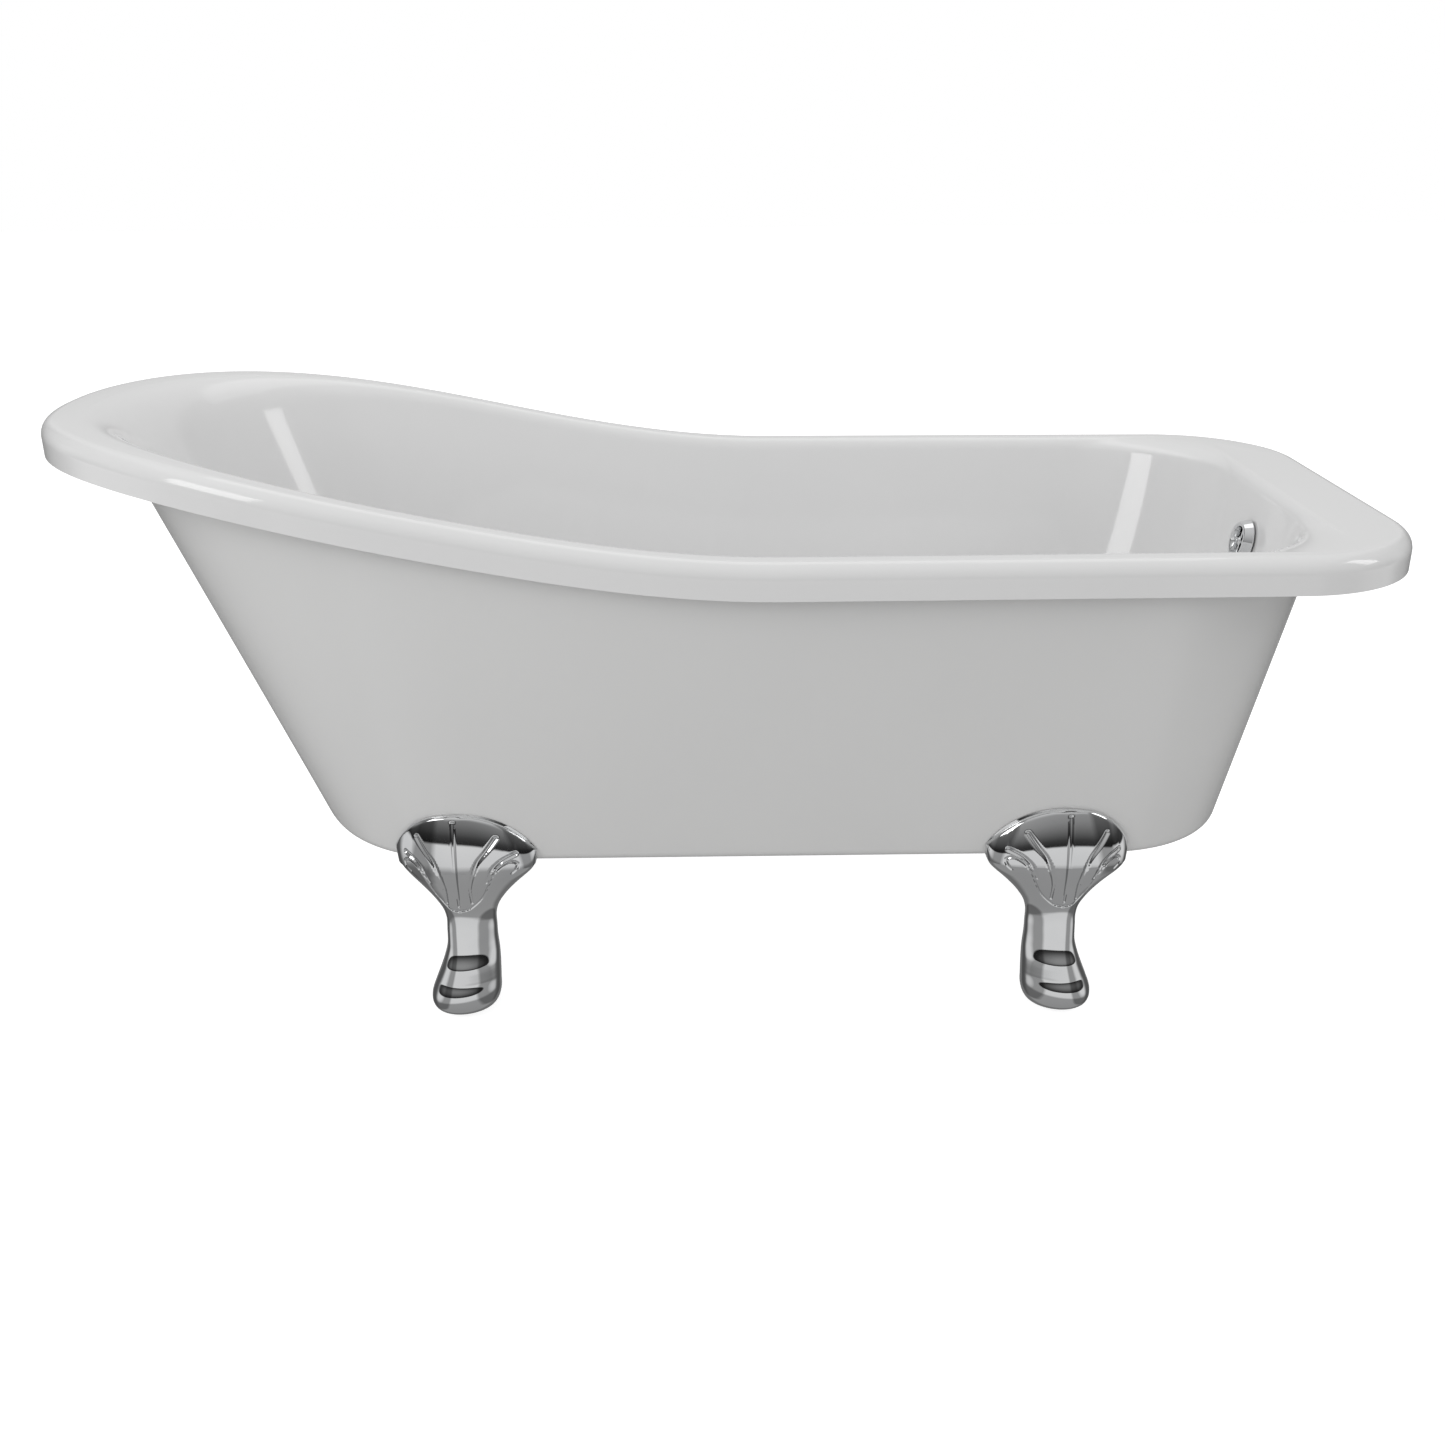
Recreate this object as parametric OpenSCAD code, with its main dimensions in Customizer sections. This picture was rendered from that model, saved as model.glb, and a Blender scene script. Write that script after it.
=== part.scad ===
// Freestanding slipper bath with a roll-top rim, a flat tap deck and four scallop-shell feet.
// Frame: origin on the floor under the middle of the rim, +X to the tap end, +Z up, near side at -Y.

/* [Rim] */
// Overall length over the rim
length = 1700; // [1600:10:1800]
// Overall width over the rim at the head half
width = 740; // [700:5:780]
// Rim height above the floor along the flat stretch
rim_h = 645; // [620:1:680]
// Extra height of the rim at the head end
head_rise = 126; // [90:1:150]
// Length of the elliptical head end of the rim
head_a = 503; // [450:1:540]
// Exponent of the head ellipse, 2 is a true ellipse
head_n = 2.27; // [2:0.01:2.6]
// Plan radius of the two tap-end corners
tap_corner_r = 180; // [150:1:210]
// How much each side draws in towards the tap end
side_taper = 14; // [0:1:24]
// Radius of the rolled outer edge
roll_r = 20; // [14:0.5:24]
// Depth of the turned-down lip below the rim top
lip_h = 43; // [38:1:50]

/* [Basin] */
// Wall thickness of the basin moulding
basin_t = 5; // [4:0.5:6]
// Width of the rim along the sides, up to the basin wall
side_rim = 42; // [38:1:46]
// Width of the rim at the head, up to the backrest
head_rim = 97; // [90:1:104]
// Width of the tap deck
deck_w = 111; // [104:1:118]
// Height of the basin floor above the room floor
basin_floor_z = 284; // [280:1:290]
// Fall of the basin floor from the head down to the waste
floor_fall = 4; // [0:1:6]

/* [Outer skin] */
// Thickness of the outer skin
skin_t = 4; // [3:0.5:5]
// Height of the underside of the bath above the floor
skin_bottom_z = 222; // [218:1:224]
// Half width of the skin just under the lip
skin_top_hw = 350; // [346:1:352]
// Half width of the skin at its underside
skin_bottom_hw = 263; // [260:1:266]

/* [Feet] */
// X of the two feet at the head end
head_foot_x = -321; // [-330:1:-300]
// X of the two feet at the tap end
tap_foot_x = 439; // [415:1:445]
// Half width of the shell across its corners
shell_hw = 92; // [84:1:94]
// Height of the top of the shell above the floor
shell_top_z = 297; // [285:1:305]
// Sideways turn-out of the toe from the ankle
toe_kick = 16; // [0:1:18]
// How far the front of each foot turns out from its middle
turn_out = 10; // [0:1:12]
// Share of that turn left at the toe
toe_share = 0.4; // [0:0.1:1]
// Thickness of the pad under each foot
pad_t = 3; // [2:0.5:4]

/* [Waste and overflow] */
// X of the waste
waste_x = 545; // [540:1:550]
// Depth of the overflow centre below the rim top
overflow_drop = 79; // [75:1:85]
// Travel of the plug from closed to open
plug_travel = 10; // [6:1:10]
// Outer radius of the waste tail, a G 1 1/2 thread
tail_r = 23.9; // [23.8:0.05:24]
// Outer radius of the overflow pipe
pipe_r = 7.5; // [6:0.5:7.5]

/* [Hidden] */
$fn = 64;

// Points along each stretch of half an outline: head curve, side, corner, end
HEAD_STEPS = 14;
SIDE_STEPS = 10;
CORNER_STEPS = 7;
END_STEPS = 2;
HALF = HEAD_STEPS + SIDE_STEPS + CORNER_STEPS + END_STEPS;
RING = 2 * HALF;

half_l = length / 2;
half_w = width / 2;

// Plan outlines: [head x, tap x, half width, taper, corner radius, head length]
RIM = [-half_l, half_l, half_w, side_taper, tap_corner_r, head_a];
// Inner end of the level rim top
CREST = [-half_l + head_rim - 47, half_l - deck_w + 14, half_w - side_rim + 11, side_taper, 60, head_a - 38];
// Where the basin wall would meet the rim top
WALL_TOP = [-half_l + head_rim, half_l - deck_w, half_w - side_rim, side_taper, 185, 430];
// Where the basin wall would meet the basin floor
WALL_FOOT = [-550, 640, 245, 10, 190, 330];
// Outer edge of the level basin floor
FLOOR_EDGE = [-400, 585, 175, 6, 130, 240];
SKIN_TOP = [-750, 765, skin_top_hw, 16, 250, 440];
SKIN_FOOT = [-544, 690, skin_bottom_hw, 8, 183, 230];
SKIN_FLAT = [-528, 680, skin_bottom_hw - 10, 8, 173, 214];

// Heights above the wall foot where the lower bends begin
basin_bend = 80;
head_bend = 150;
skin_bend = 12;
skin_head_bend = 21;
// Drop below the rim top where the upper bend ends, along the sides and at the head
roll_drop = 18;
head_roll_drop = 62;
// Outward bow of the tap-end wall at mid height
tap_bow = 14;
// Drop of the skin's top edge below the rim top, along the sides and at the head
skin_tuck = 22;
skin_head_tuck = 38;

// Rise of the rim at a given x: an S-curve from the flat stretch up to the head
RISE_START = 79;
RISE_END = -839;
function rise(x) =
    let (u = min(max((RISE_START - x) / (RISE_START - RISE_END), 0), 1))
    head_rise * u * u * (3 - 2 * u);
function rim_z(x) = rim_h + rise(x);

// One half of a plan outline, from the head tip along the near side to the middle of the tap end
function near_half(o) =
    let (
        head_end = o[0] + o[5],
        cx = o[1] - o[4],
        cy = -(o[2] - o[3] - o[4]),
        lean = atan(o[3] / (cx - head_end))
    )
    [
        for (i = [0 : HEAD_STEPS])
            let (t = 90 * i / HEAD_STEPS)
            [head_end - o[5] * pow(cos(t), 2 / head_n), -o[2] * pow(sin(t), 2 / head_n)],
        for (i = [1 : SIDE_STEPS])
            let (u = i / SIDE_STEPS, end = [cx + o[4] * sin(lean), cy - o[4] * cos(lean)])
            [head_end, -o[2]] * (1 - u) + end * u,
        for (i = [1 : CORNER_STEPS])
            let (t = -90 + lean + (90 - lean) * i / CORNER_STEPS)
            [cx + o[4] * cos(t), cy + o[4] * sin(t)],
        for (i = [1 : END_STEPS]) [o[1], cy * (1 - i / END_STEPS)]
    ];
function outline(o) =
    let (near = near_half(o))
    [for (p = near) p, for (i = [HALF - 1 : -1 : 1]) [near[i][0], -near[i][1]]];

// Outline moved outwards by d
function grow(o, d) = [o[0] - d, o[1] + d, o[2] + d, o[3], o[4] + d, o[5] + d];

// How far point i of a ring belongs to the head (1 at its tip) and to the tap end (1 across it)
function headness(i) =
    let (k = min(i, RING - i)) k >= HEAD_STEPS ? 0 : pow(cos(90 * k / HEAD_STEPS), 2);
function tapness(i) =
    let (k = min(i, RING - i) - HEAD_STEPS - SIDE_STEPS)
    k <= 0 ? 0 : pow(sin(90 * min(k / CORNER_STEPS, 1)), 2);
function head_mix(i, side, head) = side + (head - side) * headness(i);

// A ring at a drop below the rim top
function rim_ring(o, drop) = [for (p = outline(o)) [p[0], p[1], rim_z(p[0]) - drop]];
// A ring at a fixed height
function level_ring(o, z) = [for (p = outline(o)) [p[0], p[1], z]];
function floor_ring(o, z, fall) =
    [for (p = outline(o)) [p[0], p[1], z + fall * max(0, waste_x - p[0]) / (waste_x - WALL_FOOT[0])]];

// Point by point mix of two rings, and a bend through three rings
function mix(a, b, w) = [for (i = [0 : RING - 1]) let (v = is_list(w) ? w[i] : w) a[i] * (1 - v) + b[i] * v];
function bend(a, b, c, s) =
    [for (i = [0 : RING - 1]) a[i] * (1 - s) * (1 - s) + b[i] * 2 * s * (1 - s) + c[i] * s * s];

// How far down the wall its first ring lies: the overflow sits on the flat band above it
WALL_STEP = 0.4;

// The basin's surface as rings from the lip's lower edge to the floor's edge, moved inwards
// through the wall by t: t = 0 is the visible face, t = basin_t its underside
function basin_rings(t) =
    let (
        crest = rim_ring(grow(CREST, t * 0.5), t),
        top = rim_ring(grow(WALL_TOP, t), t),
        fall = t > 0 ? 0 : floor_fall,
        foot = floor_ring(grow(WALL_FOOT, t), basin_floor_z - t, fall),
        flat = floor_ring(grow(FLOOR_EDGE, t), basin_floor_z - t, fall),
        depth = [for (i = [0 : RING - 1]) top[i][2] - foot[i][2]],
        bend_end = [for (i = [0 : RING - 1]) head_mix(i, roll_drop, head_roll_drop) / depth[i]],
        bend_start = [for (i = [0 : RING - 1]) 1 - head_mix(i, basin_bend, head_bend) / depth[i]],
        upper = mix(top, foot, bend_end),
        lower = mix(top, foot, bend_start)
    )
    [
        rim_ring(grow(RIM, -t), lip_h),
        for (a = [0 : 22.5 : 90])
            rim_ring(grow(RIM, -t - (roll_r - t) * (1 - cos(a))), t + (roll_r - t) * (1 - sin(a))),
        for (s = [0 : 0.2 : 1]) bowed(bend(crest, top, upper, s), depth),
        for (w = [WALL_STEP : 0.2 : 0.8]) bowed(mix(upper, lower, w), depth),
        for (s = [0 : 0.2 : 1]) bowed(bend(lower, foot, flat, s), depth)
    ];

// The tap-end wall bows out a little between the deck and the floor
function bowed(ring, depth) =
    [for (i = [0 : RING - 1])
        let (v = min(max((rim_h - ring[i][2]) / depth[i], 0), 1))
        ring[i] + [tap_bow * 4 * v * (1 - v) * tapness(i), 0, 0]];

// The skin's surface as rings from its top edge to the edge of its flat underside
function skin_rings(t) =
    let (
        top = rim_ring(grow(SKIN_TOP, -t), lip_h),
        foot = level_ring(grow(SKIN_FOOT, -t), skin_bottom_z + t),
        flat = level_ring(grow(SKIN_FLAT, -t), skin_bottom_z + t),
        depth = [for (i = [0 : RING - 1]) top[i][2] - foot[i][2]],
        tuck = [for (i = [0 : RING - 1]) (head_mix(i, skin_tuck, skin_head_tuck) - lip_h) / depth[i]],
        bend_start = [for (i = [0 : RING - 1]) 1 - head_mix(i, skin_bend, skin_head_bend) / depth[i]],
        lower = mix(top, foot, bend_start)
    )
    [
        mix(top, foot, tuck),
        for (w = [0 : 0.25 : 0.75]) mix(top, lower, w),
        for (s = [0 : 0.2 : 1]) bend(lower, foot, flat, s)
    ];

// A closed solid from a stack of equal rings that run anticlockwise seen from above. The first is
// closed over its middle, and so is the last, unless strip says to join its two sides instead.
module loft(rings, strip = false) {
    n = len(rings[0]);
    top = (len(rings) - 1) * n;
    points = [for (r = rings) each r, centre(rings[0]), centre(rings[len(rings) - 1])];
    sides = [
        for (k = [0 : n : top - n], i = [0 : n - 1])
            let (a = k + i, b = k + (i + 1) % n)
            each [[a, b + n, b], [a, a + n, b + n]]
    ];
    base = [for (i = [0 : n - 1]) [top + n, i, (i + 1) % n]];
    cap = strip
        ? [for (i = [0 : n / 2 - 1])
            let (j = (n - i) % n)
            each [[top + i, top + j, top + i + 1], [top + j, top + n - i - 1, top + i + 1]]]
        : [for (i = [0 : n - 1]) [top + n + 1, top + (i + 1) % n, top + i]];
    whole_cap = [for (f = cap) if (f[0] != f[1] && f[1] != f[2] && f[0] != f[2]) f];
    polyhedron(points, concat(sides, base, whole_cap), convexity = 10);
}
function centre(ring) = [for (k = [0 : 2]) [for (p = ring) p[k]] * [for (p = ring) 1 / len(ring)]];
function reversed(list) = [for (i = [len(list) - 1 : -1 : 0]) list[i]];

// Both feet along the bath, how far out their ankles stand, and both sides across it
foot_x = [head_foot_x, tap_foot_x];
foot_y = [260, 258];
sides = [-1, 1];

// Fastening sizes: M8 bolts, their holes and washers
bolt_r = 4;
bolt_hole_r = 4.5;
bolt_dx = 22;
bolt_y = 175;
bolt_seat_z = 212;
washer_r = 8.5;
washer_t = 1.6;
bearer_z = skin_bottom_z + skin_t;
board_t = 18;
board_z = basin_floor_z - basin_t - board_t;
screw_dx = 20;
screw_y = [60, 125];
screw_r = 1.8;
screw_head_r = 4.2;
tee_r = 5.5;
tee_len = 9;
pad_r = 16;
pad_out = 0.5;
toe_h = 110;
follow_z = 150;
follow_h = 60;

// Base board, bearers and deck board: extents along X, half widths across
BOARD_X = [-380, 495];
board_hw = 160;
bearer_w = 76;
bearer_hw = 200;
DECK_BOARD_X = [774, 828];
deck_board_hw = 200;
deck_board_t = 12;
glue_gap = 0.3;

// Places of all eight foot bolts, and of the wood screws of one bearer
module at_foot_bolts(z) {
    for (x = foot_x, sx = sides, sy = sides) translate([x + sx * bolt_dx, sy * bolt_y, z]) children();
}
module at_bearer_screws(x, z) {
    for (sx = sides, sy = sides, y = screw_y) translate([x + sx * screw_dx, sy * y, z]) children();
}

// Waste sizes
floor_hole_r = 22.5;
recess_r = 38;
recess_depth = 2;
flange_r = 35;
neck_r = 21;
neck_bore_r = 17;
neck_len = 22;
washer_z = basin_floor_z - recess_depth;
flange_z = washer_z + 1;
gasket_t = 4;
body_top_z = basin_floor_z - basin_t - gasket_t;
inlet_z = 250;
tail_end_z = 165;
tail_len = 40;
tail_bore_r = 20.5;
barrel_r = 27;
barrel_len = body_top_z - 2 - tail_end_z - tail_len;
inlet_r = 11.5;
inlet_len = 41;
skin_hole_r = 45;
stem_r = 4;
running_gap = 0.05;
cap_gap = 0.5;

// Overflow sizes: its centre on the tap-end wall, and the slope of the flat band of wall it sits on
function tap_wall_x(z) =
    let (v = (rim_h - z) / (rim_h - basin_floor_z))
    WALL_TOP[1] * (1 - v) + WALL_FOOT[1] * v + 4 * tap_bow * v * (1 - v);
band_top_z = rim_h - roll_drop;
band_foot_z = band_top_z - WALL_STEP * (band_top_z - basin_floor_z - basin_bend);
band_slope = (tap_wall_x(band_top_z) - tap_wall_x(band_foot_z)) / (band_top_z - band_foot_z);
overflow_z = rim_h - overflow_drop;
overflow_x = tap_wall_x(band_top_z) - band_slope * (band_top_z - overflow_z);
overflow_tilt = atan(band_slope);
overflow_hole_r = 22;
rose_r = 30;
rose_front_r = 25;
rose_depth = 14;
rose_dish_r = 20;
body_depth = 16.5;
back_face = -basin_t * (cos(overflow_tilt) + sin(overflow_tilt)) - 0.7;
gasket_back = back_face - 2;
body_face = gasket_back - 0.05;

// Overflow pipe: it runs down beside the skin, round one bend and along to the waste
skin_slope = atan((SKIN_TOP[1] - SKIN_FOOT[1]) / (rim_h - lip_h - skin_bottom_z));
pipe_top = [736.3, 530];
socket_wall = 1;
elbow_wall = 1.8;
pipe_wall = 1.2;
bend_r = 35;
bend_z = inlet_z + bend_r;
bend_x = pipe_top[0] - (pipe_top[1] - bend_z) * tan(skin_slope) - bend_r / cos(skin_slope);
socket_len = 14;
down_len = (pipe_top[1] - bend_z + bend_r * sin(skin_slope)) / cos(skin_slope) + 6;
level_len = bend_x - waste_x - inlet_len + 10;

// Overflow frame: local +Z looks into the basin, local +X runs up the wall
module at_overflow() {
    translate([overflow_x, 0, overflow_z]) rotate([0, overflow_tilt - 90, 0]) children();
}
// Frames at the ends of the elbow's bend, local +Z out along the pipe
module at_elbow_top() {
    translate([bend_x + bend_r * cos(skin_slope), 0, bend_z - bend_r * sin(skin_slope)])
        rotate([0, skin_slope, 0]) children();
}
module at_elbow_foot() {
    translate([bend_x, 0, inlet_z]) rotate([0, -90, 0]) children();
}
// Frame at the top of the overflow pipe, local +Z up the pipe
module at_pipe_top() {
    translate([pipe_top[0], 0, pipe_top[1]]) rotate([0, skin_slope, 0]) children();
}
module ring(r_out, r_in, h) {
    difference() {
        cylinder(r = r_out, h = h);
        translate([0, 0, -1]) cylinder(r = r_in, h = h + 2);
    }
}

module basin() {
    color("white") difference() {
        loft(concat(reversed(basin_rings(basin_t)), basin_rings(0)));
        translate([waste_x, 0, basin_floor_z - recess_depth]) cylinder(r = recess_r, h = 20);
        translate([waste_x, 0, basin_floor_z - 20]) cylinder(r = floor_hole_r, h = 40);
        at_overflow() translate([0, 0, -15]) cylinder(r = overflow_hole_r, h = 30);
    }
}

module outer_skin() {
    color("whitesmoke") difference() {
        loft(concat(reversed(skin_rings(0)), skin_rings(skin_t)));
        translate([waste_x, 0, skin_bottom_z - 5]) cylinder(r = skin_hole_r, h = 20);
        at_foot_bolts(skin_bottom_z - 5) cylinder(r = bolt_hole_r, h = 20);
    }
}

// Plank with rounded corners, from x0 to x1 and hw to each side
module plank(x0, x1, hw, t, r) {
    linear_extrude(height = t) {
        translate([x0, r - hw]) square([x1 - x0, 2 * (hw - r)]);
        translate([x0 + r, -hw]) square([x1 - x0 - 2 * r, 2 * hw]);
        for (x = [x0 + r, x1 - r], sy = sides) translate([x, sy * (hw - r)]) circle(r = r);
    }
}

module base_board() {
    color("burlywood") difference() {
        translate([0, 0, board_z]) plank(BOARD_X[0], BOARD_X[1], board_hw, board_t, 40);
        for (x = foot_x) {
            at_bearer_screws(x, board_z - 1) cylinder(r = screw_r + 0.5, h = board_t + 2);
            at_bearer_screws(x, board_z + board_t - 2.5)
                cylinder(r1 = screw_r + 0.5, r2 = screw_head_r + 0.4, h = 2.6);
        }
    }
}

module bearer(x) {
    color("peru") difference() {
        translate([x, 0, bearer_z]) plank(-bearer_w / 2, bearer_w / 2, bearer_hw, board_z - bearer_z, 4);
        at_foot_bolts(bearer_z - 1) cylinder(r = bolt_hole_r, h = 40);
        at_foot_bolts(board_z - tee_len - 1) cylinder(r = tee_r + 0.1, h = 20);
        at_bearer_screws(x, board_z - 25) cylinder(r = screw_r + 0.1, h = 30);
    }
}
module head_bearer() bearer(head_foot_x);
module tap_bearer() bearer(tap_foot_x);

module bearer_screws() {
    color("gold") for (x = foot_x) {
        at_bearer_screws(x, board_z - 20) cylinder(r = screw_r, h = 20 + board_t - 1);
        at_bearer_screws(x, board_z + board_t - 2.6) cylinder(r1 = screw_r + 0.2, r2 = screw_head_r, h = 2.4);
    }
}

// Plywood that stiffens the tap deck from below
module deck_board() {
    color("burlywood") translate([0, 0, rim_h - basin_t - glue_gap - deck_board_t])
        plank(DECK_BOARD_X[0], DECK_BOARD_X[1], deck_board_hw, deck_board_t, 12);
}

// Half width of the skin at x and z, with its lower edge rounded off
function outline_hw(o, x) =
    let (head_end = o[0] + o[5], cx = o[1] - o[4])
    x < head_end ? o[2] * pow(1 - pow((head_end - x) / o[5], head_n), 1 / head_n)
    : x < cx ? o[2] - o[3] * (x - head_end) / (cx - head_end)
    : o[2] - o[3] - o[4] + sqrt(o[4] * o[4] - (x - cx) * (x - cx));
function wall_hw(x, z) =
    let (v = (z - skin_bottom_z) / (rim_z(1.3 * x) - lip_h - skin_bottom_z))
    outline_hw(SKIN_FOOT + (SKIN_TOP - SKIN_FOOT) * v, x);
function skin_hw(x, z) =
    let (
        head_end = SKIN_FOOT[0] + SKIN_FOOT[5],
        head = x < head_end ? pow((head_end - x) / SKIN_FOOT[5], head_n) : 0,
        up = skin_bend + (skin_head_bend - skin_bend) * head,
        side = outline_hw(SKIN_FOOT, x) - outline_hw(SKIN_FLAT, x),
        q = min(max((z - skin_bottom_z) / up, 0), 1)
    )
    wall_hw(x, z) - side * pow(1 - sqrt(q), 2);

// Sections of a foot up to the underside of the bath: [height, half width, front, middle, back],
// the last three measured outwards from the ankle
FOOT = [
    [pad_t, 25, 22, 1, -20], [6, 31, 27.5, 2, -26], [10, 36, 33.5, 3.5, -30], [15, 40.5, 39.5, 4.5, -34],
    [22, 44, 44, 5, -36], [31, 45.5, 45.8, 4.5, -38],
    [50, 43, 44, 3.5, -37], [66, 40, 37, 2, -34], [88, 36, 37, 0, -31], [95, 35, 32, -0.5, -30.5],
    [108, 33, 28, -1.5, -29], [126, 32.5, 25.5, -3, -29], [144, 32.6, 23.5, -4.5, -31],
    [155, 35.5, 23.5, -5.5, -34], [172, 46, 27, -7, -41], [190, 62, 31, -8, -53],
    [200, 72, 33, -7, -66], [208, 80, 34.8, -5, -92], [215, 86, 35.8, -3, -102],
    [skin_bottom_z, 89.5, 36.3, -1, -114]
];
shell_root = FOOT[len(FOOT) - 1];
FOOT_RING = 36;
SHELL_STEPS = 8;
shell_gap = 1.5;
shell_edge_t = 5;
shell_swell = 0.55;
shell_round = 0.7;
shell_corner_z = shell_top_z - 55;
shell_arc_r = (pow(shell_hw, 2) / (shell_top_z - shell_corner_z) + shell_top_z - shell_corner_z) / 2;
function shell_z(dx) = shell_top_z - shell_arc_r + sqrt(pow(shell_arc_r, 2) - dx * dx);

// Sideways turn of a foot's front at angle a round a section at height z, less at the toe
function turned(a, out, z) =
    out * turn_out * (toe_share + (1 - toe_share) * min(z / toe_h, 1)) * pow(max(sin(a), 0), 2);

// One leg section: the toe is kicked sideways, and the wide upper sections follow the skin's plan
function leg_ring(row, x0, y0, out) =
    let (
        low = 1 - min(row[0] / toe_h, 1),
        x1 = x0 + out * toe_kick * low * low * (3 - 2 * low),
        follow = min(max((row[0] - follow_z) / follow_h, 0), 1)
    )
    [
        for (i = [0 : FOOT_RING - 1])
            let (
                a = 360 * i / FOOT_RING,
                x = x1 + row[1] * cos(a + 180) + turned(a, out, row[0]),
                d = sin(a) > 0
                    ? row[3] + (row[2] - row[3]) * pow(sin(a), 1 + (shell_round - 1) * follow)
                    : row[3] + (row[3] - row[4]) * sin(a),
                shift = wall_hw(x, skin_bottom_z) - wall_hw(x0, skin_bottom_z)
            )
            [x, -(y0 + d + shift * follow), row[0]]
    ];

// One section of the shell that laps up the outside of the skin, t = 0 at its root, 1 at its edge
function shell_ring(t, x0, y0, out) =
    let (full = y0 + shell_root[2] - wall_hw(x0, skin_bottom_z) - shell_gap - shell_edge_t)
    [
        for (i = [0 : FOOT_RING - 1])
            let (
                a = 360 * i / FOOT_RING,
                dx = (shell_root[1] + (shell_hw - shell_root[1]) * t) * cos(a + 180),
                x = x0 + dx + turned(a, out, skin_bottom_z),
                z = skin_bottom_z + (shell_z(dx) - skin_bottom_z) * t,
                bulge = shell_edge_t + full * (1 - t) * (1 + shell_swell * t),
                front = wall_hw(x, z) + shell_gap + bulge * pow(max(sin(a), 0), shell_round),
                back = skin_hw(x, z) + shell_gap
            )
            [x, -(sin(a) > 0.001 ? max(front, back) : back), z]
    ];

module foot(x0, y0, out) {
    legs = [for (row = FOOT) leg_ring(row, x0, y0, out)];
    shell = [for (k = [0 : SHELL_STEPS]) shell_ring(pow(k / SHELL_STEPS, 2), x0, y0, out)];
    color("silver") difference() {
        loft(concat(legs, shell), strip = true);
        for (sx = sides) translate([x0 + sx * bolt_dx, -bolt_y, 0]) {
            cylinder(r = bolt_hole_r, h = 300);
            cylinder(r = washer_r + 2, h = bolt_seat_z);
        }
    }
}
module foot_head_near() foot(head_foot_x, foot_y[0], -1);
module foot_head_far() mirror([0, 1, 0]) foot(head_foot_x, foot_y[0], -1);
module foot_tap_near() foot(tap_foot_x, foot_y[1], 1);
module foot_tap_far() mirror([0, 1, 0]) foot(tap_foot_x, foot_y[1], 1);

module foot_pads() {
    color("dimgray") for (k = [0, 1], sy = sides)
        let (x = foot_x[k] + (2 * k - 1) * toe_kick, y = foot_y[k] + pad_out)
        translate([x, sy * y, 0]) cylinder(r = pad_r, h = pad_t);
}

module foot_bolts() {
    color("lightsteelblue") at_foot_bolts(bolt_seat_z - washer_t) {
        translate([0, 0, -5.3]) cylinder(r = 7.2, h = 5.3, $fn = 6);
        cylinder(r = bolt_r, h = board_z + 3 - bolt_seat_z + washer_t);
    }
}
module foot_washers() {
    color("silver") at_foot_bolts(bolt_seat_z - washer_t) ring(washer_r, bolt_r + 0.3, washer_t);
}
module foot_tee_nuts() {
    color("silver") at_foot_bolts(0) {
        translate([0, 0, board_z - tee_len]) ring(tee_r, bolt_r + running_gap, tee_len);
        translate([0, 0, board_z]) ring(tee_r + 4, bolt_r + running_gap, 1.5);
    }
}

module overflow_rose() {
    color("silver") at_overflow() {
        rotate_extrude() polygon([
            [18, -6], [21, -6], [21, 1.8], [rose_r, 1.8], [rose_r, 3], [rose_front_r + 0.6, rose_depth - 0.6],
            [rose_front_r - 0.4, rose_depth], [rose_dish_r + 1.5, rose_depth], [rose_dish_r, rose_depth - 1],
            [18, 5]
        ]);
        difference() {
            union() {
                translate([0, 0, 4]) cylinder(r = 6, h = 5.5);
                for (a = [0, 90]) rotate([0, 0, a]) translate([-19, -2.2, 5]) cube([38, 4.4, 3.5]);
            }
            cylinder(r = 2.7, h = 20);
        }
    }
}
module overflow_washer() {
    color("dimgray") at_overflow() translate([0, 0, 0.3]) ring(rose_r - 2, overflow_hole_r + 0.5, 1.5);
}
module overflow_screw() {
    color("gainsboro") at_overflow() difference() {
        union() {
            translate([0, 0, -18]) cylinder(r = 2.5, h = 27.5);
            translate([0, 0, 9.5]) cylinder(r1 = 4.6, r2 = 3.4, h = 2.4);
        }
        translate([-3.2, -0.5, 10.9]) cube([6.4, 1, 2]);
        translate([-0.5, -3.2, 10.9]) cube([1, 6.4, 2]);
    }
}
module overflow_gasket() {
    color("dimgray") at_overflow() translate([0, 0, gasket_back]) ring(rose_r, overflow_hole_r + 0.5, 2);
}
module overflow_body() {
    color("slategray") difference() {
        union() {
            at_overflow() translate([0, 0, body_face - body_depth]) cylinder(r = 31, h = body_depth);
            at_pipe_top() translate([0, 0, -8]) cylinder(r = pipe_r + socket_wall, h = 16);
        }
        difference() {
            at_overflow() translate([0, 0, body_face + 3 - body_depth]) cylinder(r = 22, h = body_depth);
            at_overflow() translate([0, 0, -30]) cylinder(r = 5.5, h = 17);
        }
        at_overflow() translate([0, 0, -19]) cylinder(r = 2.5 + running_gap, h = 20);
        at_pipe_top() translate([0, 0, -10]) cylinder(r = pipe_r + running_gap, h = 26);
    }
}

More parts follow.
